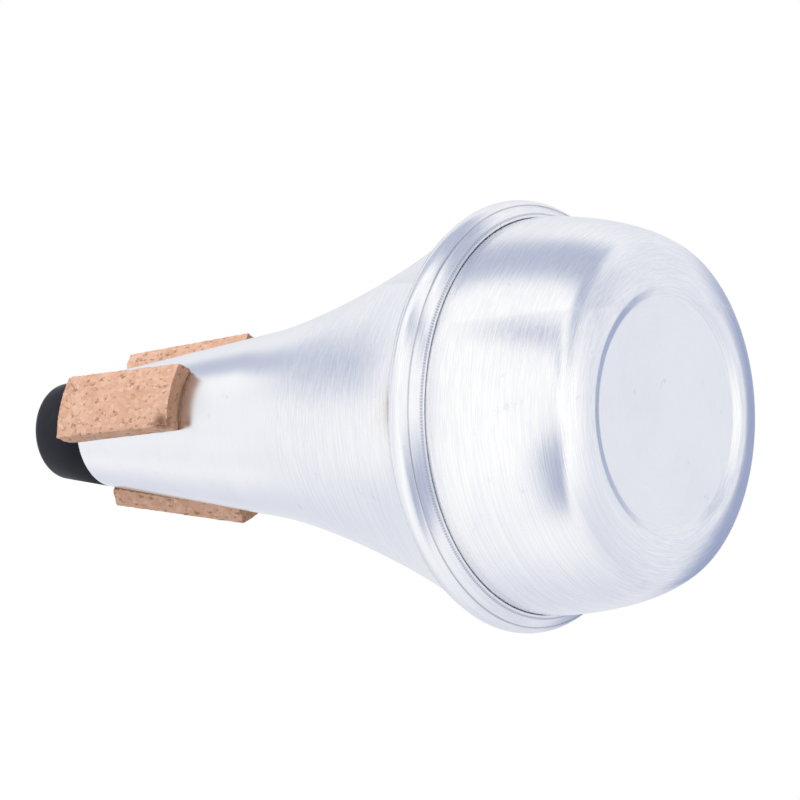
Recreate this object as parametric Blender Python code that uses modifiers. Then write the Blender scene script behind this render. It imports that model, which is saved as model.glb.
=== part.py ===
"""Trumpet straight mute: a spun aluminium cone and bottom bowl, rolled together at the rim.

The mute stands on the foot ring of its bowl. The origin is the centre of that ring's rest plane,
and +Z runs along the mute's axis to its narrow end. Azimuths are counted about +Z from +X.
An outline is a list of (radius, height) points. It runs down the outer side, top to bottom.
"""

import math

import bmesh
import bpy
from mathutils import Vector
from mathutils.geometry import interpolate_bezier

MM = 0.001

# Fineness of the turned pieces and the distance at which their turned points merge
TURN_STEPS = 48
MERGE = 0.00001

# Fits between pieces
FIT_GAP = 0.3 * MM
SHEET = 0.8 * MM
GLUE = 0.4 * MM

# Bottom bowl: a dished disc inside a flat foot, a round corner and a nearly straight side
DISC_RADIUS = 27.7 * MM
DISC_DEPTH = 1.15 * MM
FOOT_INNER_RADIUS = 30.4 * MM
FOOT_RADIUS = 31.8 * MM
FOOT_LIFT = math.radians(5)
CORNER_RADIUS = 42.3 * MM
CORNER_HEIGHT = 4.8 * MM
CORNER_SLOPE = math.radians(60)
BOWL_RADIUS = 48.2 * MM
BOWL_SHOULDER_HEIGHT = 33 * MM
SEAM_HEIGHT = 36.75 * MM
NECK_INSET = 0.65 * MM
# Handle lengths of the bowl's curves, named for the end that they leave
NECK_PULL_UP = 1.4 * MM
NECK_PULL_DOWN = 1.6 * MM
SHOULDER_PULL = 3.7 * MM
CORNER_PULL_UP = 9.7 * MM
CORNER_PULL_DOWN = 2.9 * MM
FOOT_PULL = 2.5 * MM

# Rolled rim of the cone, and the bowl's lip that is trapped inside it
RIM_STAND = 4.3 * MM
ROLL_RADIUS = 3.87 * MM
ROLL_TOP_ANGLE = math.radians(62)
FLANK_ANGLE = math.radians(45)
SEAM_STEP = 0.3 * MM
LIP_PLAY = 1.3 * MM
CREASE_ROUND = 1.2 * MM

# Flare and neck of the cone: the flare's slope is counted from the axis
FLARE_SLOPE = math.radians(33.8)
FLARE_PULL = 18.5 * MM
NECK_PULL = 18.3 * MM
NECK_RADIUS = 23.3 * MM
NECK_HEIGHT = 116.7 * MM
CONE_END_RADIUS = 14.5 * MM
CONE_END_HEIGHT = 173.4 * MM

# End ring in the cone's narrow end
RING_LENGTH = 17.2 * MM
RING_END_RADIUS = 12.3 * MM
RING_ROUND = 2.8 * MM
RING_BORE_RADIUS = 8.8 * MM
BORE_ROUND = 0.6 * MM
SPIGOT_LENGTH = 9 * MM
SPIGOT_CHAMFER = 0.8 * MM

# Cork pads, glued on by hand: azimuth of each, and how far its two ends stand above the cone's end
PAD_WIDTH = 16.8 * MM
PAD_EDGE_THICKNESS = 4.4 * MM
PAD_CROWN_RADIUS = 32 * MM
PAD_PLACES = (
    (math.radians(-69), -38.8 * MM, 2.6 * MM),
    (math.radians(40), -38.8 * MM, -2.4 * MM),
    (math.radians(151), -38.8 * MM, 0.6 * MM),
)
GLUE_INSET = 0.5 * MM


def clear_scene():
    for item in list(bpy.data.objects):
        bpy.data.objects.remove(item, do_unlink=True)


def new_collection(name):
    collection = bpy.data.collections.new(name)
    bpy.context.scene.collection.children.link(collection)
    return collection


def finish_of(name, colour, metallic, roughness):
    material = bpy.data.materials.new(name)
    material.use_nodes = True
    shader = material.node_tree.nodes["Principled BSDF"]
    shader.inputs["Base Color"].default_value = (*colour, 1)
    shader.inputs["Metallic"].default_value = metallic
    shader.inputs["Roughness"].default_value = roughness
    return material


def curve_between(start, start_pull, end, end_pull, points):
    """Points on one Bezier stretch. Each pull is the handle's offset from its end point."""
    knots = [Vector((*p, 0)) for p in (start, start + start_pull, end + end_pull, end)]
    return [Vector(p[:2]) for p in interpolate_bezier(*knots, points)]


def heading(angle, length=1.0):
    """A step in (radius, height) that climbs outwards at an angle above the horizontal."""
    return Vector((math.cos(angle), math.sin(angle))) * length


def arc(centre, radius, start, end, points):
    """Points on an arc, at angles counted from straight outwards and up."""
    steps = points - 1
    return [centre + heading(start + (end - start) * i / steps, radius) for i in range(points)]


def round_corner(before, corner, after, size, points):
    """Points that round a corner of an outline, from size before it to size after it."""
    start = corner + (before - corner).normalized() * size
    end = corner + (after - corner).normalized() * size
    pull = size * 0.6
    to_corner = (corner - start).normalized() * pull
    return curve_between(start, to_corner, end, (corner - end).normalized() * pull, points)


def offset_line(points, distance):
    """The outline moved sideways by a distance, to the outside of a line that runs downwards."""
    moved = []
    for i, point in enumerate(points):
        before = points[max(i - 1, 0)]
        after = points[min(i + 1, len(points) - 1)]
        sides = [(b - a).normalized() for a, b in ((before, point), (point, after)) if a != b]
        normal = sum((Vector((-side.y, side.x)) for side in sides), Vector((0, 0))).normalized()
        across = Vector((-sides[0].y, sides[0].x)).dot(normal)
        moved.append(point + normal * distance / across)
    return moved


def outline_object(name, outline, closed, collection):
    """A wire mesh of the outline in the XZ plane at +X, for the Screw modifier to turn."""
    mesh = bpy.data.meshes.new(name)
    model = bmesh.new()
    verts = [model.verts.new((radius, 0, height)) for radius, height in outline]
    for a, b in zip(verts, verts[1:]):
        model.edges.new((a, b))
    if closed:
        model.edges.new((verts[-1], verts[0]))
    model.to_mesh(mesh)
    model.free()
    item = bpy.data.objects.new(name, mesh)
    collection.objects.link(item)
    return item


def turned(name, outline, closed, collection, material=None):
    item = outline_object(name, outline, closed, collection)
    screw = item.modifiers.new("turn", "SCREW")
    screw.axis = "Z"
    screw.steps = TURN_STEPS
    screw.render_steps = TURN_STEPS
    screw.use_merge_vertices = True
    screw.merge_threshold = MERGE
    screw.use_smooth_shade = True
    if material:
        item.data.materials.append(material)
    return item


def sheet_metal(name, skin, collection, material):
    """A turned open skin, thickened inwards to the sheet."""
    item = turned(name, skin, False, collection, material)
    solidify = item.modifiers.new("sheet", "SOLIDIFY")
    solidify.thickness = SHEET
    solidify.offset = -1
    solidify.use_even_offset = True
    return item


def as_cutter(item):
    item.hide_render = True
    item.display_type = "WIRE"
    return item


def cut(item, operation, cutter):
    boolean = item.modifiers.new(cutter.name, "BOOLEAN")
    boolean.operation = operation
    boolean.solver = "EXACT"
    boolean.object = cutter


# Places that the cone, the bowl and the ring share
RIM_RADIUS = BOWL_RADIUS + RIM_STAND
SEAM_RADIUS = BOWL_RADIUS + SEAM_STEP
ROLL_BOTTOM_ANGLE = FLANK_ANGLE - math.radians(90)
FLANK_TOP_RADIUS = RIM_RADIUS - ROLL_RADIUS * (1 - math.cos(ROLL_BOTTOM_ANGLE))
FLANK_TOP_HEIGHT = SEAM_HEIGHT + (FLANK_TOP_RADIUS - SEAM_RADIUS) * math.tan(FLANK_ANGLE)
ROLL_CENTRE = Vector((
    RIM_RADIUS - ROLL_RADIUS,
    FLANK_TOP_HEIGHT - ROLL_RADIUS * math.sin(ROLL_BOTTOM_ANGLE),
))
RING_SEAT_HEIGHT = CONE_END_HEIGHT + FIT_GAP
RING_END_HEIGHT = CONE_END_HEIGHT + RING_LENGTH
RING_TAPER = math.atan2(CONE_END_RADIUS - RING_END_RADIUS, RING_LENGTH)
PAD_STAND = FIT_GAP + GLUE + FIT_GAP


def neck_and_flare():
    """Outer outline of the cone from its narrow end down to the crease at the rolled rim."""
    end = Vector((CONE_END_RADIUS, CONE_END_HEIGHT))
    neck = Vector((NECK_RADIUS, NECK_HEIGHT))
    crease = ROLL_CENTRE + heading(ROLL_TOP_ANGLE, ROLL_RADIUS)
    down_the_neck = (neck - end).normalized() * NECK_PULL
    up_the_flare = Vector((-math.sin(FLARE_SLOPE), math.cos(FLARE_SLOPE))) * FLARE_PULL
    straight = [end.lerp(neck, share) for share in (0, 0.25, 0.5, 0.75)]
    return straight + curve_between(neck, down_the_neck, crease, up_the_flare, 12)


def cone_skin():
    """Outer outline of the cone: neck, flare, rolled rim and the flank down to the seam."""
    above = neck_and_flare()
    roll = arc(ROLL_CENTRE, ROLL_RADIUS, ROLL_TOP_ANGLE, ROLL_BOTTOM_ANGLE, 9)
    crease_round = round_corner(above[-2], above[-1], roll[1], CREASE_ROUND, 4)
    seam = Vector((SEAM_RADIUS, SEAM_HEIGHT))
    return above[:-1] + crease_round + roll[2:] + [seam]


def bowl_skin():
    """Outer outline of the bowl: lip, neck, side, corner, foot and the dished disc."""
    # The lip lies inside the cone's flank, parallel to it, with the sheet and a gap between them
    across = (SHEET + FIT_GAP) / math.cos(FLANK_ANGLE)
    neck_radius = BOWL_RADIUS - NECK_INSET
    lip_radius = RIM_RADIUS - SHEET - LIP_PLAY
    lip_height = SEAM_HEIGHT + across + (lip_radius - SEAM_RADIUS) * math.tan(FLANK_ANGLE)
    bend_height = lip_height - (lip_radius - neck_radius) * math.tan(FLANK_ANGLE)
    lip = Vector((lip_radius, lip_height))
    bend = Vector((neck_radius, bend_height))
    shoulder = Vector((BOWL_RADIUS, BOWL_SHOULDER_HEIGHT))
    corner = Vector((CORNER_RADIUS, CORNER_HEIGHT))
    foot = Vector((FOOT_RADIUS, 0))
    up = Vector((0, 1))
    corner_heading = heading(CORNER_SLOPE)
    neck = curve_between(bend, -up * NECK_PULL_DOWN, shoulder, up * NECK_PULL_UP, 5)
    side = curve_between(shoulder, -up * SHOULDER_PULL, corner, corner_heading * CORNER_PULL_UP, 9)
    corner_pull = -corner_heading * CORNER_PULL_DOWN
    bottom = curve_between(corner, corner_pull, foot, heading(FOOT_LIFT, FOOT_PULL), 8)
    disc = [
        Vector((FOOT_INNER_RADIUS, 0)),
        Vector((DISC_RADIUS, DISC_DEPTH)),
        Vector((0, DISC_DEPTH)),
    ]
    return [lip] + neck + side[1:] + bottom[1:] + disc


def spigot_radius():
    """The glue and a gap on each side of it lie between the spigot and the cone."""
    return CONE_END_RADIUS - SHEET - FIT_GAP - GLUE - FIT_GAP


def ring_side():
    """Outer side of the end ring, from its end face down to its seat on the cone."""
    centre = Vector((RING_END_RADIUS - RING_ROUND, RING_END_HEIGHT - RING_ROUND))
    nose = arc(centre, RING_ROUND, math.radians(90), RING_TAPER, 6)
    return nose + [Vector((CONE_END_RADIUS, RING_SEAT_HEIGHT))]


def ring_outline():
    spigot = spigot_radius()
    spigot_end = CONE_END_HEIGHT - SPIGOT_LENGTH
    seat = [
        Vector((spigot, RING_SEAT_HEIGHT)),
        Vector((spigot, spigot_end + SPIGOT_CHAMFER)),
        Vector((spigot - SPIGOT_CHAMFER, spigot_end)),
        Vector((RING_BORE_RADIUS, spigot_end)),
    ]
    mouth_centre = Vector((RING_BORE_RADIUS + BORE_ROUND, RING_END_HEIGHT - BORE_ROUND))
    mouth = arc(mouth_centre, BORE_ROUND, math.radians(180), math.radians(90), 3)
    return ring_side() + seat + mouth


def ring_glue_outline():
    inner = spigot_radius() + FIT_GAP
    top = CONE_END_HEIGHT - FIT_GAP
    bottom = CONE_END_HEIGHT - SPIGOT_LENGTH + SPIGOT_CHAMFER
    corners = ((inner + GLUE, top), (inner + GLUE, bottom), (inner, bottom), (inner, top))
    return [Vector(corner) for corner in corners]


def pad_ground():
    """The outline that the pads lie on: the ring's side and the cone's neck below it."""
    return ring_side()[:-1] + neck_and_flare()


def ground_radius(height):
    ground = pad_ground()
    for upper, lower in zip(ground, ground[1:]):
        if upper.y >= height >= lower.y:
            share = (upper.y - height) / (upper.y - lower.y)
            return upper.x + (lower.x - upper.x) * share
    return ground[-1].x


def pad_block(name, place, inset, collection):
    """A crowned block for one pad, along the cone's side and reaching down into the cone."""
    azimuth, low_above_end, high_above_end = place
    low, high = CONE_END_HEIGHT + low_above_end, CONE_END_HEIGHT + high_above_end
    low_radius, high_radius = ground_radius(low), ground_radius(high)
    taper = math.atan2(low_radius - high_radius, high - low)
    half_width = PAD_WIDTH / 2 - inset
    middle_radius = (low_radius + high_radius) / 2
    # The pad's sides stand where the round cone has already fallen away under them
    fall = middle_radius - math.sqrt(middle_radius**2 - half_width**2)
    edge = PAD_STAND + PAD_EDGE_THICKNESS - fall
    crown_centre = edge - math.sqrt(PAD_CROWN_RADIUS**2 - half_width**2)
    reach = math.asin(half_width / PAD_CROWN_RADIUS)
    crown = [reach - 2 * reach * i / 8 for i in range(9)]
    section = [
        (PAD_CROWN_RADIUS * math.sin(angle), crown_centre + PAD_CROWN_RADIUS * math.cos(angle))
        for angle in crown
    ]
    section += [(-half_width, -half_width), (half_width, -half_width)]

    curve = bpy.data.curves.new(name, "CURVE")
    curve.dimensions = "2D"
    curve.fill_mode = "BOTH"
    curve.extrude = (high - low) / math.cos(taper) / 2 - inset
    spline = curve.splines.new("POLY")
    spline.points.add(len(section) - 1)
    for point, (across, outwards) in zip(spline.points, section):
        point.co = (across, outwards, 0, 1)
    spline.use_cyclic_u = True
    outline = bpy.data.objects.new(name + "_outline", curve)
    collection.objects.link(outline)

    # Local X is across the pad, Y points out of the cone and Z runs up the cone's side
    outline.rotation_euler = (taper, 0, azimuth - math.radians(90))
    outline.location = (
        middle_radius * math.cos(azimuth),
        middle_radius * math.sin(azimuth),
        (low + high) / 2,
    )
    bpy.context.view_layer.update()
    return solid_from_curve(outline, name, collection)


def solid_from_curve(outline, name, collection):
    depsgraph = bpy.context.evaluated_depsgraph_get()
    mesh = bpy.data.meshes.new_from_object(outline.evaluated_get(depsgraph))
    mesh.name = name
    model = bmesh.new()
    model.from_mesh(mesh)
    bmesh.ops.remove_doubles(model, verts=model.verts, dist=MERGE)
    bmesh.ops.recalc_face_normals(model, faces=model.faces)
    model.to_mesh(mesh)
    model.free()
    item = bpy.data.objects.new(name, mesh)
    item.matrix_world = outline.matrix_world.copy()
    collection.objects.link(item)
    bpy.data.objects.remove(outline, do_unlink=True)
    return item


def cork_pads(parts, cutters, cork, glue):
    ground = pad_ground()
    clearance = offset_line(ground, PAD_STAND)
    on_axis = [Vector((0, clearance[0].y)), *clearance, Vector((0, clearance[-1].y))]
    saddle = as_cutter(turned("pad_saddle_cutter", on_axis, False, cutters))
    film = offset_line(ground, FIT_GAP + GLUE) + offset_line(ground, FIT_GAP)[::-1]
    for number, place in enumerate(PAD_PLACES, 1):
        pad = pad_block(f"cork_pad_{number}", place, 0, parts)
        pad.data.materials.clear()
        pad.data.materials.append(cork)
        cut(pad, "DIFFERENCE", saddle)
        block = as_cutter(pad_block(f"glue_block_{number}", place, GLUE_INSET, cutters))
        layer = turned(f"cork_glue_{number}", film, True, parts, glue)
        cut(layer, "INTERSECT", block)


def main():
    clear_scene()
    parts = new_collection("trumpet_straight_mute")
    cutters = new_collection("cutters")
    aluminium = finish_of("aluminium", (0.82, 0.83, 0.87), 1, 0.32)
    cork = finish_of("cork", (0.72, 0.45, 0.30), 0, 0.85)
    black_plastic = finish_of("black_plastic", (0.018, 0.019, 0.028), 0, 0.38)
    glue = finish_of("contact_glue", (0.42, 0.27, 0.13), 0, 0.5)

    sheet_metal("cone_body", cone_skin(), parts, aluminium)
    sheet_metal("bottom_bowl", bowl_skin(), parts, aluminium)
    turned("end_ring", ring_outline(), True, parts, black_plastic)
    turned("end_ring_glue", ring_glue_outline(), True, parts, glue)
    cork_pads(parts, cutters, cork, glue)


main()
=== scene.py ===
"""Looks of the trumpet straight mute: spun aluminium, granular cork pads and a satin black end ring.

The cone, the bowl and the end ring are turned again here from the part's own sizes, with finer steps,
rounded edges on the disc, a groove in the rolled rim, and closer fits where the gaps show. The cork pads
start from their CAD meshes, and are remeshed, worn and laid close to the metal.
An outline is a list of (radius, height) points. It runs down the outer side, top to bottom.
Azimuths are counted about +Z from +X.
"""

import math

import bmesh
import bpy
from mathutils import Matrix, Vector, noise
from mathutils.geometry import interpolate_bezier


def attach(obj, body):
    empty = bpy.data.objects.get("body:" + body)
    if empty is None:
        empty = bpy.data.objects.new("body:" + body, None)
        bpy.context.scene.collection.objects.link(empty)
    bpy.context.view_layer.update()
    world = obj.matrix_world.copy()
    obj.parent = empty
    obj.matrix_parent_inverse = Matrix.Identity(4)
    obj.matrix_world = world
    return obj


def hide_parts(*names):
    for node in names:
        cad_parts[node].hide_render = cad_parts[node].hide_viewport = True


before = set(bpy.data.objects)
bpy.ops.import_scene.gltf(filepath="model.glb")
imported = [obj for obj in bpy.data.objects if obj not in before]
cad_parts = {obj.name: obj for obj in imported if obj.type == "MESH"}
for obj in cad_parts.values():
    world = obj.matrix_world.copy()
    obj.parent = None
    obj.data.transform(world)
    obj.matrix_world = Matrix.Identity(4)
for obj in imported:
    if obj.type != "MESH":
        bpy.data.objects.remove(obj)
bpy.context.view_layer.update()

MM = 0.001

# Fineness of the turned pieces and the distance at which their turned points merge
TURN_STEPS = 192
MERGE = 0.00001

# Camera: it looks up at the bowl from the side, and is rolled so that the mute lies down
LENS = 270
SENSOR = 36
VIEW_RISE = math.radians(37.51)
VIEW_ROLL = math.radians(-91.97)
VIEW_REACH = 20
# How far the centre of the foot lies to the right of the camera's line of sight, below it and ahead
FOOT_RIGHT = 64.28 * MM
FOOT_BELOW = 2.9 * MM
FOOT_DISTANCE = 1427.57 * MM

# Sheet and fits: the close gap is the line that shows between the end ring and the cone's end
SHEET = 0.8 * MM
FIT_GAP = 0.3 * MM
CLOSE_GAP = 0.05 * MM
GLUE_THICKNESS = 0.4 * MM

# Bottom bowl: a dished disc inside a flat foot, a round corner and a nearly straight side
DISC_RADIUS = 27.7 * MM
DISC_DEPTH = 1.15 * MM
DISC_EDGE_ROUND = 0.5 * MM
FOOT_INNER_RADIUS = 30.4 * MM
FOOT_RADIUS = 31.8 * MM
FOOT_LIFT = math.radians(5)
CORNER_RADIUS = 42.3 * MM
CORNER_HEIGHT = 4.8 * MM
CORNER_SLOPE = math.radians(60)
BOWL_RADIUS = 48.2 * MM
BOWL_SHOULDER_HEIGHT = 33 * MM
SEAM_HEIGHT = 36.75 * MM
NECK_INSET = 0.3 * MM
# Handle lengths of the bowl's curves, named for the end that they leave
NECK_PULL_UP = 1.4 * MM
NECK_PULL_DOWN = 1.6 * MM
SHOULDER_PULL = 3.7 * MM
CORNER_PULL_UP = 9.7 * MM
CORNER_PULL_DOWN = 2.9 * MM
FOOT_PULL = 2.5 * MM

# Rolled rim of the cone. Its flank lies at 45 degrees, from the roll down to the seam
RIM_STAND = 4.3 * MM
ROLL_RADIUS = 3.87 * MM
ROLL_TOP_ANGLE = math.radians(62)
ROLL_BOTTOM_ANGLE = math.radians(-45)
SEAM_STEP = 0.3 * MM
LIP_PLAY = 1.3 * MM
CREASE_ROUND = 1.2 * MM
CUT_EDGE = 0.36 * MM

# Groove at the top of the flank: how far down the flank its middle lies, its depth and half width,
# and the share of the half width where the shade painted in it is darkest
GROOVE_DROP = 0.36 * MM
GROOVE_DEPTH = 0.15 * MM
GROOVE_HALF = 0.24 * MM
GROOVE_CORE = 0.3

# Crimp marks: their number round the rim, and the heights above the seam between which their band
# comes in, and between which it goes out
CRIMP_MARKS = 400
CRIMP_START = 0.1 * MM
CRIMP_FULL = 0.3 * MM
CRIMP_FADE = 0.48 * MM
CRIMP_END = 0.8 * MM

# Flare and neck: the flare's slope is counted from the axis
FLARE_SLOPE = math.radians(33.8)
FLARE_PULL = 18.5 * MM
NECK_PULL = 18.3 * MM
NECK_RADIUS = 23.3 * MM
NECK_HEIGHT = 116.7 * MM
CONE_END_RADIUS = 14.5 * MM
CONE_END_HEIGHT = 173.4 * MM

# End ring
RING_LENGTH = 17.2 * MM
RING_END_RADIUS = 12.3 * MM
RING_ROUND = 2.8 * MM
RING_BORE_RADIUS = 8.8 * MM
BORE_ROUND = 0.6 * MM
SPIGOT_RADIUS = CONE_END_RADIUS - SHEET - FIT_GAP - GLUE_THICKNESS - FIT_GAP
SPIGOT_LENGTH = 9 * MM
SPIGOT_CHAMFER = 0.8 * MM

# Points on the straight stretches, as shares of the way down the neck, from the groove to the seam,
# and from the disc's edge to its centre. The neck's second point keeps the shading of its cut end short
NECK_SHARES = (0, 0.004, 0.2, 0.4, 0.6, 0.8)
FLANK_SHARES = (0.5, 0.97)
DISC_SHARES = (0.3, 0.6, 0.9)

# Each handle of a rounded corner, as a share of the corner's size
ROUND_FULLNESS = 0.6

# Cork pads: mesh fineness, where their underside stands above the metal in the CAD and where it is
# laid down. Cork that stands higher than the reach isn't moved
PAD_VOXEL = 0.36 * MM
PAD_SMOOTHING = 2
PAD_STAND = FIT_GAP + GLUE_THICKNESS + FIT_GAP
PAD_REST = 0.25 * MM
PAD_REACH = 2.6 * MM

# Glue film under a pad: where its inner side is laid down, and the end of the range for what lies
# between its sides. Its outer side stands just past that range and stays, hidden in the cork
FILM_REST = 0.06 * MM
FILM_TOP = 0.2 * MM

# Cork wear: noise scales per metre, the pores' threshold, and what each kind of wear adds, as a
# share of the depth
PAD_WEAR = 0.28 * MM
GRAIN_SCALE = 700
GRAIN_FALLOFF = 1.0
GRAIN_LACUNARITY = 2.0
GRAIN_OCTAVES = 3
PORE_SCALE = 420
PORE_SHIFT = Vector((7, 3, 1))
PORE_THRESHOLD = 0.28
EVEN_SHARE = 0.35
GRAIN_SHARE = 0.3
PORE_SHARE = 1.6

# The chip that is torn from pad 1: its depth has an even share and one that makes it ragged, and its
# colour is full out to the core's share of the reach
CHIP_CENTRE = Vector((1.2, -24.6, 137.6)) * MM
CHIP_REACH = 3.4 * MM
CHIP_CORE = 0.35
CHIP_DEPTH = 1.6 * MM
TEAR_SCALE = 900
EVEN_TEAR = 0.7
RAGGED_TEAR = 0.6


def cos_of(degrees):
    """Cosine of an angle in degrees."""
    return math.cos(math.radians(degrees))


def sin_of(degrees):
    """Sine of an angle in degrees."""
    return math.sin(math.radians(degrees))


def heading(angle, length=1.0):
    """A step in (radius, height) that climbs outwards at an angle above the horizontal."""
    return Vector((math.cos(angle), math.sin(angle))) * length


def arc(centre, radius, start, end, points):
    """Points on an arc, at angles counted from straight outwards and up."""
    steps = points - 1
    return [centre + heading(start + (end - start) * i / steps, radius) for i in range(points)]


def curve_between(start, start_pull, end, end_pull, points):
    """Points on one Bezier stretch. Each pull is the handle's offset from its end point."""
    knots = [Vector((*p, 0)) for p in (start, start + start_pull, end + end_pull, end)]
    return [Vector(p[:2]) for p in interpolate_bezier(*knots, points)]


def round_corner(before, corner, after, size, points):
    """Points that round a corner of an outline, from size before it to size after it."""
    start = corner + (before - corner).normalized() * size
    end = corner + (after - corner).normalized() * size
    pull = size * ROUND_FULLNESS
    to_corner = (corner - start).normalized() * pull
    return curve_between(start, to_corner, end, (corner - end).normalized() * pull, points)


# Places that the cone and the bowl share
RIM_RADIUS = BOWL_RADIUS + RIM_STAND
SEAM_RADIUS = BOWL_RADIUS + SEAM_STEP
FLANK_TOP_RADIUS = RIM_RADIUS - ROLL_RADIUS * (1 - math.cos(ROLL_BOTTOM_ANGLE))
FLANK_TOP_HEIGHT = SEAM_HEIGHT + FLANK_TOP_RADIUS - SEAM_RADIUS
ROLL_CENTRE = Vector((
    RIM_RADIUS - ROLL_RADIUS,
    FLANK_TOP_HEIGHT - ROLL_RADIUS * math.sin(ROLL_BOTTOM_ANGLE),
))


def neck_and_flare():
    """Outer side of the cone from its narrow end down to the crease at the rolled rim."""
    end = Vector((CONE_END_RADIUS, CONE_END_HEIGHT))
    neck = Vector((NECK_RADIUS, NECK_HEIGHT))
    crease = ROLL_CENTRE + heading(ROLL_TOP_ANGLE, ROLL_RADIUS)
    down_the_neck = (neck - end).normalized() * NECK_PULL
    up_the_flare = Vector((-math.sin(FLARE_SLOPE), math.cos(FLARE_SLOPE))) * FLARE_PULL
    straight = [end.lerp(neck, share) for share in NECK_SHARES]
    return straight + curve_between(neck, down_the_neck, crease, up_the_flare, points=30)


def cone_outline():
    """Neck, flare, rolled rim, and the flank with the groove that was spun where they meet."""
    above = neck_and_flare()
    roll = arc(ROLL_CENTRE, ROLL_RADIUS, ROLL_TOP_ANGLE, ROLL_BOTTOM_ANGLE, points=26)
    # The rounded crease takes the place of the roll's first four points
    crease_round = round_corner(above[-2], above[-1], roll[2], CREASE_ROUND, points=6)
    down_the_flank = heading(ROLL_BOTTOM_ANGLE - math.radians(90))
    inwards = -heading(ROLL_BOTTOM_ANGLE)
    groove_middle = Vector((FLANK_TOP_RADIUS, FLANK_TOP_HEIGHT)) + down_the_flank * GROOVE_DROP
    groove = [
        groove_middle - down_the_flank * GROOVE_HALF,
        groove_middle + inwards * GROOVE_DEPTH,
        groove_middle + down_the_flank * GROOVE_HALF,
    ]
    seam = Vector((SEAM_RADIUS, SEAM_HEIGHT))
    flank = [groove[-1].lerp(seam, share) for share in FLANK_SHARES]
    cut_edge = [seam, seam - Vector((CUT_EDGE, 0))]
    return above[:-1] + crease_round + roll[4:] + groove + flank + cut_edge


def bowl_outline():
    """Lip, neck, side, corner, foot and the dished disc, with the disc's two edges rounded."""
    # The lip lies inside the cone's flank, parallel to it, with the sheet and a gap between them
    across = (SHEET + FIT_GAP) * math.sqrt(2)
    neck_radius = BOWL_RADIUS - NECK_INSET
    lip_radius = RIM_RADIUS - SHEET - LIP_PLAY
    lip_height = SEAM_HEIGHT + across + lip_radius - SEAM_RADIUS
    lip = Vector((lip_radius, lip_height))
    bend = Vector((neck_radius, lip_height - lip_radius + neck_radius))
    shoulder = Vector((BOWL_RADIUS, BOWL_SHOULDER_HEIGHT))
    corner = Vector((CORNER_RADIUS, CORNER_HEIGHT))
    foot = Vector((FOOT_RADIUS, 0))
    foot_edge = Vector((FOOT_INNER_RADIUS, 0))
    floor_edge = Vector((DISC_RADIUS, DISC_DEPTH))
    centre = Vector((0, DISC_DEPTH))

    up = Vector((0, 1))
    up_the_side = heading(CORNER_SLOPE)
    down_pull = -up_the_side * CORNER_PULL_DOWN
    up_pull = up_the_side * CORNER_PULL_UP
    neck = curve_between(bend, -up * NECK_PULL_DOWN, shoulder, up * NECK_PULL_UP, points=10)
    side = curve_between(shoulder, -up * SHOULDER_PULL, corner, up_pull, points=24)
    bottom = curve_between(corner, down_pull, foot, heading(FOOT_LIFT, FOOT_PULL), points=16)
    disc = round_corner(foot, foot_edge, floor_edge, DISC_EDGE_ROUND, points=4)
    disc += round_corner(foot_edge, floor_edge, centre, DISC_EDGE_ROUND, points=4)
    disc += [floor_edge.lerp(centre, share) for share in DISC_SHARES]
    return [lip] + neck + side[1:] + bottom[1:] + disc + [centre]


def ring_outline():
    """The ring's nose, its seat on the cone, the spigot inside the cone, and the mouth of the bore."""
    taper = math.atan2(CONE_END_RADIUS - RING_END_RADIUS, RING_LENGTH)
    end_height = CONE_END_HEIGHT + RING_LENGTH
    centre = Vector((RING_END_RADIUS - RING_ROUND, end_height - RING_ROUND))
    nose = arc(centre, RING_ROUND, math.radians(90), taper, points=12)
    seat_height = CONE_END_HEIGHT + CLOSE_GAP
    spigot_end = CONE_END_HEIGHT - SPIGOT_LENGTH
    seat = [
        Vector((CONE_END_RADIUS, seat_height)),
        Vector((SPIGOT_RADIUS, seat_height)),
        Vector((SPIGOT_RADIUS, spigot_end + SPIGOT_CHAMFER)),
        Vector((SPIGOT_RADIUS - SPIGOT_CHAMFER, spigot_end)),
        Vector((RING_BORE_RADIUS, spigot_end)),
    ]
    mouth_centre = Vector((RING_BORE_RADIUS + BORE_ROUND, end_height - BORE_ROUND))
    mouth = arc(mouth_centre, BORE_ROUND, math.radians(180), math.radians(90), points=6)
    return nose + seat + mouth


def put_in(piece, node):
    """Links a piece, and puts it in the place of a CAD node."""
    bpy.context.scene.collection.objects.link(piece)
    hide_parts(node)
    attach(piece, "root")


def turned(name, outline, closed, finish):
    """A fine turned piece. The Screw modifier turns the outline."""
    mesh = bpy.data.meshes.new(name)
    model = bmesh.new()
    verts = [model.verts.new((radius, 0, height)) for radius, height in outline]
    for a, b in zip(verts, verts[1:]):
        model.edges.new((a, b))
    if closed:
        model.edges.new((verts[-1], verts[0]))
    model.to_mesh(mesh)
    model.free()
    mesh.materials.append(finish)
    piece = bpy.data.objects.new(name, mesh)
    screw = piece.modifiers.new("turn", "SCREW")
    screw.axis = "Z"
    screw.steps = TURN_STEPS
    screw.render_steps = TURN_STEPS
    screw.use_merge_vertices = True
    screw.merge_threshold = MERGE
    screw.use_smooth_shade = True
    return piece


def sheet_metal(name, outline, finish):
    """A turned open skin, thickened inwards to the sheet."""
    piece = turned(name, outline, closed=False, finish=finish)
    solidify = piece.modifiers.new("sheet", "SOLIDIFY")
    solidify.thickness = SHEET
    solidify.offset = -1
    solidify.use_even_offset = True
    return piece


# The cone's outer side, which the cork and its glue lie on
GROUND = neck_and_flare()


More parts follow.
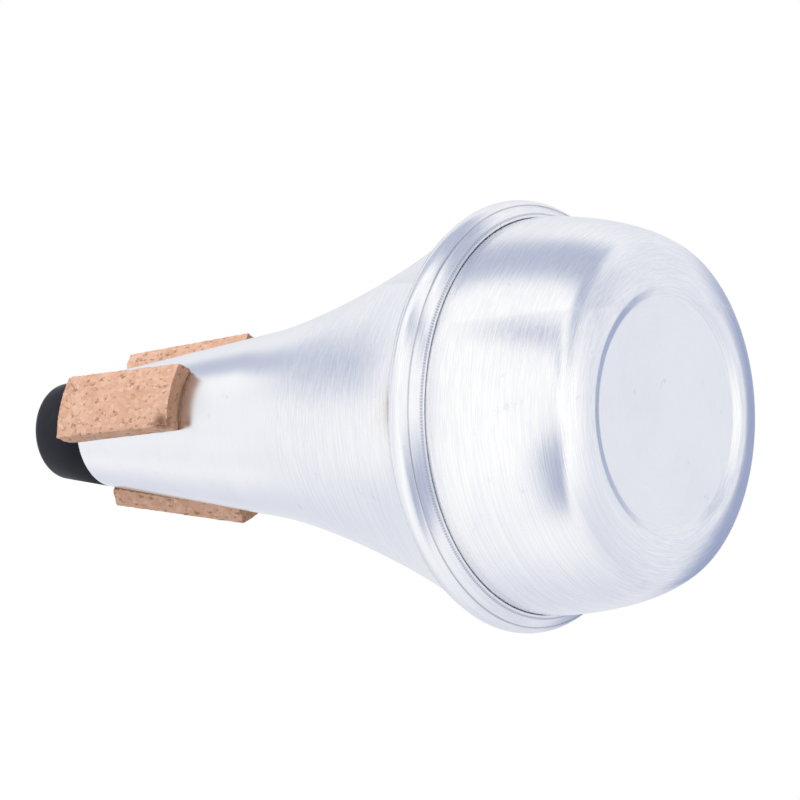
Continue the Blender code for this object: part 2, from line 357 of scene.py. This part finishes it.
def ground_radius(height):
    """Radius of the cone's outer side at a height, carried on over the ring's side."""
    if height >= GROUND[0].y:
        taper = (CONE_END_RADIUS - RING_END_RADIUS) / RING_LENGTH
        return CONE_END_RADIUS - (height - CONE_END_HEIGHT) * taper
    for upper, lower in zip(GROUND, GROUND[1:]):
        if height >= lower.y:
            share = (upper.y - height) / (upper.y - lower.y)
            return upper.x + (lower.x - upper.x) * share
    return GROUND[-1].x


def settle(mesh, old_low, old_high, new_low, new_high):
    """Moves what stands old_low to old_high above the metal to between new_low and new_high."""
    for vert in mesh.vertices:
        radius = math.hypot(vert.co.x, vert.co.y)
        ground = ground_radius(vert.co.z)
        stand = radius - ground
        if stand < old_high:
            share = max(stand - old_low, 0) / (old_high - old_low)
            scale = (ground + new_low + (new_high - new_low) * share) / radius
            vert.co.x *= scale
            vert.co.y *= scale


def baked(source, name, modifiers):
    """A new mesh: the source's mesh with the modifiers applied."""
    piece = bpy.data.objects.new(name, source.data.copy())
    bpy.context.scene.collection.objects.link(piece)
    for kind, settings in modifiers:
        modifier = piece.modifiers.new(kind.lower(), kind)
        for key, value in settings.items():
            setattr(modifier, key, value)
    depsgraph = bpy.context.evaluated_depsgraph_get()
    mesh = bpy.data.meshes.new_from_object(piece.evaluated_get(depsgraph))
    mesh.name = name
    bpy.data.objects.remove(piece, do_unlink=True)
    return mesh


def with_finish(mesh, finish):
    """A piece of the mesh, with one material."""
    mesh.materials.clear()
    mesh.materials.append(finish)
    return bpy.data.objects.new(mesh.name, mesh)


def cork_wear(point):
    """How far a cork surface point sinks: granules, pores, and the chip on pad 1."""
    grain = noise.fractal(point * GRAIN_SCALE, GRAIN_FALLOFF, GRAIN_LACUNARITY, GRAIN_OCTAVES)
    pore = max(noise.noise(point * PORE_SCALE + PORE_SHIFT) - PORE_THRESHOLD, 0)
    chip = 1 - (point - CHIP_CENTRE).length / CHIP_REACH
    torn = max(chip, 0) * (EVEN_TEAR + RAGGED_TEAR * noise.noise(point * TEAR_SCALE))
    worn = PAD_WEAR * (EVEN_SHARE + GRAIN_SHARE * grain + PORE_SHARE * pore)
    return worn + CHIP_DEPTH * max(torn, 0)


def cork_pad(number, finish):
    """The CAD pad, remeshed, worn and laid down on the metal."""
    node = f"cork_pad_{number}"
    modifiers = (
        ("REMESH", {"mode": "VOXEL", "voxel_size": PAD_VOXEL, "use_smooth_shade": True}),
        ("SMOOTH", {"factor": 0.5, "iterations": PAD_SMOOTHING}),
    )
    mesh = baked(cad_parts[node], f"worn_cork_pad_{number}", modifiers)
    normals = [vert.normal.copy() for vert in mesh.vertices]
    for vert, normal in zip(mesh.vertices, normals):
        vert.co -= normal * cork_wear(vert.co)
    settle(mesh, PAD_STAND, PAD_REACH, PAD_REST, PAD_REACH)
    put_in(with_finish(mesh, finish), node)


def cork_glue(number, finish):
    """The CAD glue under a pad, with its inner side laid down on the metal."""
    node = f"cork_glue_{number}"
    mesh = baked(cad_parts[node], f"thin_cork_glue_{number}", ())
    settle(mesh, FIT_GAP, FIT_GAP + GLUE_THICKNESS, FILM_REST, FILM_TOP)
    put_in(with_finish(mesh, finish), node)


class Value:
    """An output socket that takes part in Python arithmetic."""

    def __init__(self, graph, socket):
        self.graph = graph
        self.socket = socket

    def __add__(self, other):
        return self.graph.math("ADD", self, other)

    def __sub__(self, other):
        return self.graph.math("SUBTRACT", self, other)

    def __mul__(self, other):
        return self.graph.math("MULTIPLY", self, other)

    def __truediv__(self, other):
        return self.graph.math("DIVIDE", self, other)

    def __rsub__(self, other):
        return self.graph.math("SUBTRACT", other, self)

    def __rtruediv__(self, other):
        return self.graph.math("DIVIDE", other, self)

    __radd__ = __add__
    __rmul__ = __mul__


class Graph:
    """The node tree of a material or a world, emptied and built up by calls."""

    def __init__(self, owner):
        owner.use_nodes = True
        self.tree = owner.node_tree
        self.tree.nodes.clear()

    def node(self, kind, inputs=None, output=0, **settings):
        """Adds a node: its settings first, then the values or links of its sockets."""
        node = self.tree.nodes.new(kind)
        for name, value in settings.items():
            setattr(node, name, value)
        for key, value in (inputs or {}).items():
            if isinstance(value, Value):
                self.tree.links.new(value.socket, node.inputs[key])
            else:
                node.inputs[key].default_value = value
        return Value(self, node.outputs[output]) if node.outputs else None

    def math(self, operation, *values):
        return self.node("ShaderNodeMath", dict(enumerate(values)), operation=operation)

    def mix(self, factor, first, second, **settings):
        """The first colour where the factor is 0, and the second where it is 1."""
        inputs = {0: factor, 6: first, 7: second}
        return self.node("ShaderNodeMix", inputs, output=2, data_type="RGBA", **settings)

    def paint(self, base, tint, mask, strength):
        """The base colour, mixed with a tint by a share of the mask."""
        return self.mix(mask * strength, base, tint)

    def smooth(self, value, start, end):
        """0 before start, 1 after end, and a smooth step between them."""
        inputs = {"Value": value, "From Min": start, "From Max": end}
        return self.node("ShaderNodeMapRange", inputs, interpolation_type="SMOOTHSTEP")

    def split(self, vector):
        node = self.tree.nodes.new("ShaderNodeSeparateXYZ")
        self.tree.links.new(vector.socket, node.inputs[0])
        return [Value(self, socket) for socket in node.outputs]

    def join(self, x, y, z):
        return self.node("ShaderNodeCombineXYZ", {0: x, 1: y, 2: z})

    def place(self):
        """The point on the surface, in the mute's own frame."""
        return self.node("ShaderNodeTexCoord", output="Object")

    def noise(self, vector, scale, detail=2.0, roughness=0.5):
        inputs = {"Vector": vector, "Scale": scale, "Detail": detail, "Roughness": roughness}
        return self.node("ShaderNodeTexNoise", inputs)

    def bump(self, height, distance):
        return self.node("ShaderNodeBump", {"Height": height, "Distance": distance, "Strength": 1.0})

    def finish(self, inputs):
        shader = self.node("ShaderNodeBsdfPrincipled", inputs)
        self.node("ShaderNodeOutputMaterial", {"Surface": shader})


def colour(red, green, blue):
    return (red, green, blue, 1)


WHITE = colour(1, 1, 1)

# Aluminium colours: the darker and brighter brush lines, then what lies over them; the last is painted
# shade for the groove
BRUSH_DARK = colour(0.82, 0.84, 0.90)
BRUSH_BRIGHT = colour(0.98, 0.98, 0.985)
METAL_STAIN = colour(0.74, 0.77, 0.86)
METAL_SPOT = colour(0.55, 0.58, 0.68)
BAND_GREY = colour(0.45, 0.48, 0.6)
CRIMP_GREY = colour(0.36, 0.38, 0.48)
# Painted shade for the groove between the roll and the flank
GROOVE_SHADE_GREY = colour(0.2, 0.21, 0.27)

# Brush lines: how close the fine and coarse ones lie, per metre, and how much they change on their
# way round the axis. The coarse ones change more slowly and have the smaller share
FINE_LINES = 3400
COARSE_LINES = 800
LINE_CHANGE_X = 6
LINE_CHANGE_Y = 7
COARSE_SLOWNESS = 0.5
COARSE_SHARE = 0.2

# The disc keeps this share of the brush lines. The change is this wide on each side of its edge
DISC_BRUSH = 0.2
DISC_FADE = 2 * MM

# Relief of the brush lines, and of the crimp marks as a multiple of it
CONE_BRUSH_DEPTH = 0.012 * MM
BOWL_BRUSH_DEPTH = 0.01 * MM
CRIMP_RELIEF = 5

# How far noise shifts the crimp marks along the rim, in radians of their wave
CRIMP_JITTER = 5


def brush_lines(graph, radius, x, y, z):
    """Lines round the axis, from 0 to 1, from noise that is drawn out along them."""
    along = x / radius * LINE_CHANGE_X + y / radius * LINE_CHANGE_Y
    fine_place = graph.join(radius * FINE_LINES, z * FINE_LINES, along)
    coarse_place = graph.join(radius * COARSE_LINES, z * COARSE_LINES, along * COARSE_SLOWNESS)
    fine = graph.noise(fine_place, scale=1, detail=3, roughness=0.65)
    coarse = graph.noise(coarse_place, scale=1, detail=2)
    lines = graph.smooth(fine * (1 - COARSE_SHARE) + coarse * COARSE_SHARE, 0.3, 0.7)
    off_disc = graph.smooth(radius, DISC_RADIUS - DISC_FADE, DISC_RADIUS + DISC_FADE)
    return (lines - 0.5) * (off_disc * (1 - DISC_BRUSH) + DISC_BRUSH) + 0.5


def seam_band(graph, z):
    """1 in the band above the seam that carries the crimp marks."""
    below_top = graph.smooth(z, SEAM_HEIGHT + CRIMP_END, SEAM_HEIGHT + CRIMP_FADE)
    return below_top * graph.smooth(z, SEAM_HEIGHT + CRIMP_START, SEAM_HEIGHT + CRIMP_FULL)


def crimp_marks(graph, place, x, y):
    """Marks round the rim at nearly even steps."""
    jitter = graph.noise(place, scale=320, detail=1) * CRIMP_JITTER
    azimuth = graph.math("ARCTAN2", y, x)
    wave = graph.math("SINE", azimuth * CRIMP_MARKS + jitter) * 0.5 + 0.5
    return graph.smooth(wave, 0.3, 0.8)


def painted_groove_shade(graph, radius, z):
    """1 in the groove between the roll and the flank, where shade is painted."""
    from_groove = graph.math("ABSOLUTE", radius - FLANK_TOP_RADIUS + GROOVE_HALF)
    below_roll = graph.smooth(z, FLANK_TOP_HEIGHT + GROOVE_HALF, FLANK_TOP_HEIGHT)
    return graph.smooth(from_groove, GROOVE_HALF, GROOVE_HALF * GROOVE_CORE) * below_roll


def spun_aluminium(name, brush_depth, crimped):
    """Bright sheet with brush lines and faint stains. The crimped one has marks, and shade painted in
    its groove.
    """
    material = bpy.data.materials.new(name)
    graph = Graph(material)
    place = graph.place()
    x, y, z = graph.split(place)
    radius = graph.math("SQRT", x * x + y * y)
    brush = brush_lines(graph, radius, x, y, z)
    stains = graph.noise(place, scale=38, detail=4, roughness=0.6)
    spots = graph.smooth(graph.noise(place, scale=210, detail=3, roughness=0.6), 0.66, 0.76)
    metal = graph.mix(brush, BRUSH_DARK, BRUSH_BRIGHT)
    metal = graph.paint(metal, METAL_STAIN, graph.smooth(stains, 0.45, 0.8), strength=0.3)
    metal = graph.paint(metal, METAL_SPOT, spots, strength=0.25)
    height = brush
    if crimped:
        band = seam_band(graph, z)
        marks = crimp_marks(graph, place, x, y) * band
        metal = graph.paint(metal, BAND_GREY, band, strength=0.45)
        metal = graph.paint(metal, CRIMP_GREY, marks, strength=0.5)
        # Painted shade: the groove is darkened in the colour
        metal = graph.paint(metal, GROOVE_SHADE_GREY, painted_groove_shade(graph, radius, z), strength=0.5)
        height = brush + marks * CRIMP_RELIEF
    graph.finish({
        "Base Color": metal,
        "Metallic": 1.0,
        "Roughness": 0.17 + brush * 0.06 + stains * 0.06,
        "Anisotropic": 0.7,
        "Anisotropic Rotation": 0.25,
        "Normal": graph.bump(height, brush_depth),
    })
    return material


# Cork colours: the granules' three tans, and what darkens them, among them painted shade for the cut
# ends
DARK_TAN = colour(0.77, 0.44, 0.29)
LIGHT_TAN = colour(0.90, 0.58, 0.43)
MIDDLE_TAN = colour(0.86, 0.56, 0.40)
JOINT_BROWN = colour(0.42, 0.19, 0.10)
PORE_BROWN = colour(0.30, 0.14, 0.08)
BLOTCH_BROWN = colour(0.55, 0.26, 0.15)
# Painted shade for the pads' cut ends, picked by the way their faces point
END_SHADE_BROWN = colour(0.33, 0.155, 0.085)
TORN_BROWN = colour(0.16, 0.065, 0.035)

# Granules: how close they lie, per metre, how far their edges wander, and the squeeze of Z that
# draws them out along the mute
GRANULES = 900
GRANULE_WANDER = 1.2 * MM
Z_SQUEEZE = 0.62
CORK_RELIEF = 0.12 * MM


def cork_finish():
    """Granules in three tans, with brown pores, darker in the torn chip, and painted shade on the cut
    ends.
    """
    material = bpy.data.materials.new("cork")
    graph = Graph(material)
    place = graph.place()
    x, y, z = graph.split(place)
    squeezed_z = z * Z_SQUEEZE
    squeezed = graph.join(x, y, squeezed_z)
    wander = graph.noise(squeezed, scale=600, detail=2) * GRANULE_WANDER
    cell = {"Vector": graph.join(x + wander, y + wander, squeezed_z), "Scale": GRANULES}
    granule = graph.node("ShaderNodeTexVoronoi", cell, output="Color")
    tone, second_tone, _ = graph.split(granule)
    edge = graph.node("ShaderNodeTexVoronoi", cell, feature="DISTANCE_TO_EDGE")
    joints = graph.smooth(edge, 0.10, 0.0)
    pores = graph.smooth(graph.noise(squeezed, scale=900, detail=3, roughness=0.6), 0.57, 0.68)
    blotches = graph.smooth(graph.noise(place, scale=160, detail=2), 0.5, 0.75)
    _, _, normal_up = graph.split(graph.node("ShaderNodeNewGeometry", output="Normal"))
    # Painted shade: faces that point along the axis, the pads' cut ends, are darkened
    painted_end_shade = graph.smooth(graph.math("ABSOLUTE", normal_up), 0.55, 0.85)
    from_chip = graph.node(
        "ShaderNodeVectorMath",
        {0: place, 1: tuple(CHIP_CENTRE)},
        output="Value",
        operation="DISTANCE",
    )
    torn = graph.smooth(from_chip, CHIP_REACH, CHIP_REACH * CHIP_CORE)

    cork = graph.mix(tone, DARK_TAN, LIGHT_TAN)
    cork = graph.paint(cork, MIDDLE_TAN, graph.smooth(second_tone, 0.7, 0.95), strength=0.6)
    cork = graph.paint(cork, JOINT_BROWN, joints, strength=0.08)
    cork = graph.paint(cork, PORE_BROWN, pores, strength=0.6)
    cork = graph.paint(cork, BLOTCH_BROWN, blotches, strength=0.25)
    cork = graph.paint(cork, END_SHADE_BROWN, painted_end_shade, strength=0.6)
    cork = graph.paint(cork, TORN_BROWN, torn, strength=0.7)
    fine = graph.noise(place, scale=2400, detail=3)
    height = tone * 0.5 + fine * 0.6 - pores * 1.2 - joints * 0.3
    graph.finish({
        "Base Color": cork,
        "Roughness": 0.78 + tone * 0.12,
        "Specular IOR Level": 0.3,
        "Normal": graph.bump(height, CORK_RELIEF),
    })
    return material


PLASTIC_BLACK = colour(0.007, 0.008, 0.015)
PLASTIC_RUBBED = colour(0.015, 0.016, 0.027)
PLASTIC_RELIEF = 0.01 * MM


def black_plastic_finish():
    """Satin black with faint rubbed patches."""
    material = bpy.data.materials.new("black_plastic")
    graph = Graph(material)
    place = graph.place()
    rubbed = graph.smooth(graph.noise(place, scale=260, detail=4, roughness=0.65), 0.5, 0.75)
    fine = graph.noise(place, scale=3000, detail=2)
    graph.finish({
        "Base Color": graph.mix(rubbed, PLASTIC_BLACK, PLASTIC_RUBBED),
        "Roughness": 0.46 + rubbed * 0.12,
        "Specular IOR Level": 0.3,
        "Normal": graph.bump(fine, PLASTIC_RELIEF),
    })
    return material


GLUE_DARK = colour(0.24, 0.13, 0.06)
GLUE_AMBER = colour(0.42, 0.26, 0.13)
GLUE_RELIEF = 0.05 * MM


def glue_finish():
    """Thin amber contact glue with darker runs."""
    material = bpy.data.materials.new("contact_glue")
    graph = Graph(material)
    runs = graph.noise(graph.place(), scale=500, detail=2)
    graph.finish({
        "Base Color": graph.mix(runs, GLUE_DARK, GLUE_AMBER),
        "Roughness": 0.4 + runs * 0.2,
        "Normal": graph.bump(runs, GLUE_RELIEF),
    })
    return material


# The studio that the metal reflects: its level, and the upright shades in it. A shade has an azimuth,
# a half width and the elevation at which its top fades out, in degrees, and a depth
STUDIO_LEVEL = 1.10
STUDIO_SHADES = (
    (10, 24, 80, 0.56),
    (-42, 9, 20, 0.60),
    (-125, 30, -5, 0.62),
    (175, 70, 80, 0.09),
    (105, 100, 80, 0.25),
)
# The share of its half width that is at full depth, and the half width of the fade at its top
SHADE_CORE = 0.25
SHADE_FADE = 10

# Round patches in it: azimuth, elevation, half width (degrees), depth. A depth below 0 is a light
STUDIO_PATCHES = (
    (98, 4, 30, 0.50),
    (45, -50, 12, 0.30),
    (-10, 75, 10, 0.30),
    (-90, 65, 40, 0.14),
    (0, -90, 28, -0.30),
)
PATCH_CORE = 0.4

# Colours of the studio: the shades at level 0, and the light that the cork and the plastic get
SHADE_BLUE = colour(0, 0.08, 0.35)
ROOM_LIGHT = colour(0.55, 0.55, 0.57)
# Keeps the division by the horizontal reach clear of 0
NEAR_ZERO = 0.0001


def studio_level(graph):
    """Brightness that the metal reflects from each direction: the level less the shades and patches."""
    x, y, z = graph.split(graph.node("ShaderNodeTexCoord", output="Generated"))
    reach = graph.math("SQRT", x * x + y * y) + NEAR_ZERO
    level = STUDIO_LEVEL
    for azimuth, half_width, top, depth in STUDIO_SHADES:
        along = (x * cos_of(azimuth) + y * sin_of(azimuth)) / reach
        across = graph.smooth(along, cos_of(half_width), cos_of(half_width * SHADE_CORE))
        below_top = graph.smooth(z, sin_of(top + SHADE_FADE), sin_of(top - SHADE_FADE))
        level = level - across * below_top * depth
    for azimuth, elevation, half_width, depth in STUDIO_PATCHES:
        flat = cos_of(elevation)
        along = x * cos_of(azimuth) * flat + y * sin_of(azimuth) * flat + z * sin_of(elevation)
        patch = graph.smooth(along, cos_of(half_width), cos_of(half_width * PATCH_CORE))
        level = level - patch * depth
    return level


def studio_world():
    """White for the camera, pale light for the cork, and soft upright shades for the metal."""
    world = bpy.data.worlds.new("studio")
    bpy.context.scene.world = world
    graph = Graph(world)
    # The level can pass 1, so this mix isn't clamped
    reflected = graph.mix(studio_level(graph), SHADE_BLUE, WHITE, clamp_factor=False)
    glossy = graph.node("ShaderNodeLightPath", output="Is Glossy Ray")
    camera = graph.node("ShaderNodeLightPath", output="Is Camera Ray")
    seen = graph.mix(glossy, ROOM_LIGHT, reflected)
    seen = graph.mix(camera, seen, WHITE)
    background = graph.node("ShaderNodeBackground", {"Color": seen})
    graph.node("ShaderNodeOutputWorld", {"Surface": background})


# Floor: half its side in metres, its colour, and its own light, which lifts it to the background
FLOOR_HALF = 3.0
FLOOR_GREY = colour(0.58, 0.58, 0.58)
FLOOR_GLOW = 0.45


def studio_floor():
    """A pale floor that is seen only from above, because the camera looks up through its place."""
    mesh = bpy.data.meshes.new("floor")
    sides = ((-1, -1), (1, -1), (1, 1), (-1, 1))
    corners = [(x * FLOOR_HALF, y * FLOOR_HALF, 0) for x, y in sides]
    mesh.from_pydata(corners, [], [(0, 1, 2, 3)])
    floor = bpy.data.objects.new("floor", mesh)
    bpy.context.scene.collection.objects.link(floor)
    material = bpy.data.materials.new("floor")
    graph = Graph(material)
    below = graph.node("ShaderNodeNewGeometry", output="Backfacing")
    pale = graph.node("ShaderNodeBsdfPrincipled", {
        "Base Color": FLOOR_GREY,
        "Roughness": 1.0,
        "Specular IOR Level": 0.0,
        "Emission Color": WHITE,
        "Emission Strength": FLOOR_GLOW,
    })
    clear = graph.node("ShaderNodeBsdfTransparent")
    surface = graph.node("ShaderNodeMixShader", {0: below, 1: pale, 2: clear})
    graph.node("ShaderNodeOutputMaterial", {"Surface": surface})
    mesh.materials.append(material)
    floor.visible_shadow = False
    floor.visible_glossy = False
    floor.visible_diffuse = False


# Lamps: name, azimuth and elevation (degrees), power. They light the cork and the plastic, and the
# metal doesn't reflect them
LAMPS = (
    ("key", -35, 10, 9),
    ("front", -85, -35, 3.5),
    ("top", 60, 60, 5),
)
LAMP_SIZE = 1.0
LAMP_DISTANCE = 1.4
LAMP_AIM = Vector((0, 0, 90)) * MM


def lamp(name, azimuth, elevation, power):
    """A soft square lamp that faces the middle of the mute."""
    data = bpy.data.lights.new(name, "AREA")
    data.size = LAMP_SIZE
    data.energy = power
    item = bpy.data.objects.new(name, data)
    bpy.context.scene.collection.objects.link(item)
    flat = cos_of(elevation)
    towards = Vector((cos_of(azimuth) * flat, sin_of(azimuth) * flat, sin_of(elevation)))
    item.location = LAMP_AIM + towards * LAMP_DISTANCE
    item.rotation_euler = towards.to_track_quat("Z", "Y").to_euler()
    item.visible_glossy = False


def photo_camera():
    """The camera, placed from where the centre of the foot stands in its view."""
    forward = Vector((0, math.cos(VIEW_RISE), math.sin(VIEW_RISE)))
    level_up = Vector((0, -math.sin(VIEW_RISE), math.cos(VIEW_RISE)))
    level_right = Vector((1, 0, 0))
    right = level_right * math.cos(VIEW_ROLL) + level_up * math.sin(VIEW_ROLL)
    up = level_up * math.cos(VIEW_ROLL) - level_right * math.sin(VIEW_ROLL)
    place = up * FOOT_BELOW - right * FOOT_RIGHT - forward * FOOT_DISTANCE
    data = bpy.data.cameras.new("camera")
    data.lens = LENS
    data.sensor_width = SENSOR
    data.clip_end = VIEW_REACH
    camera = bpy.data.objects.new("camera", data)
    bpy.context.scene.collection.objects.link(camera)
    turn = Matrix((right, up, -forward)).transposed().to_4x4()
    camera.matrix_world = Matrix.Translation(place) @ turn
    bpy.context.scene.camera = camera


bpy.context.scene.view_settings.view_transform = "Standard"
photo_camera()
studio_world()
studio_floor()
for lamp_values in LAMPS:
    lamp(*lamp_values)

cork_material = cork_finish()
glue_material = glue_finish()
cone_metal = spun_aluminium("cone_aluminium", CONE_BRUSH_DEPTH, crimped=True)
bowl_metal = spun_aluminium("bowl_aluminium", BOWL_BRUSH_DEPTH, crimped=False)

put_in(sheet_metal("spun_cone_body", cone_outline(), cone_metal), "cone_body")
put_in(sheet_metal("spun_bottom_bowl", bowl_outline(), bowl_metal), "bottom_bowl")

ring = turned("turned_end_ring", ring_outline(), closed=True, finish=black_plastic_finish())
put_in(ring, "end_ring")

# The ring's glue is hidden, so it keeps its CAD mesh
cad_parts["end_ring_glue"].material_slots[0].material = glue_material
for pad_number in (1, 2, 3):
    cork_pad(pad_number, cork_material)
    cork_glue(pad_number, glue_material)
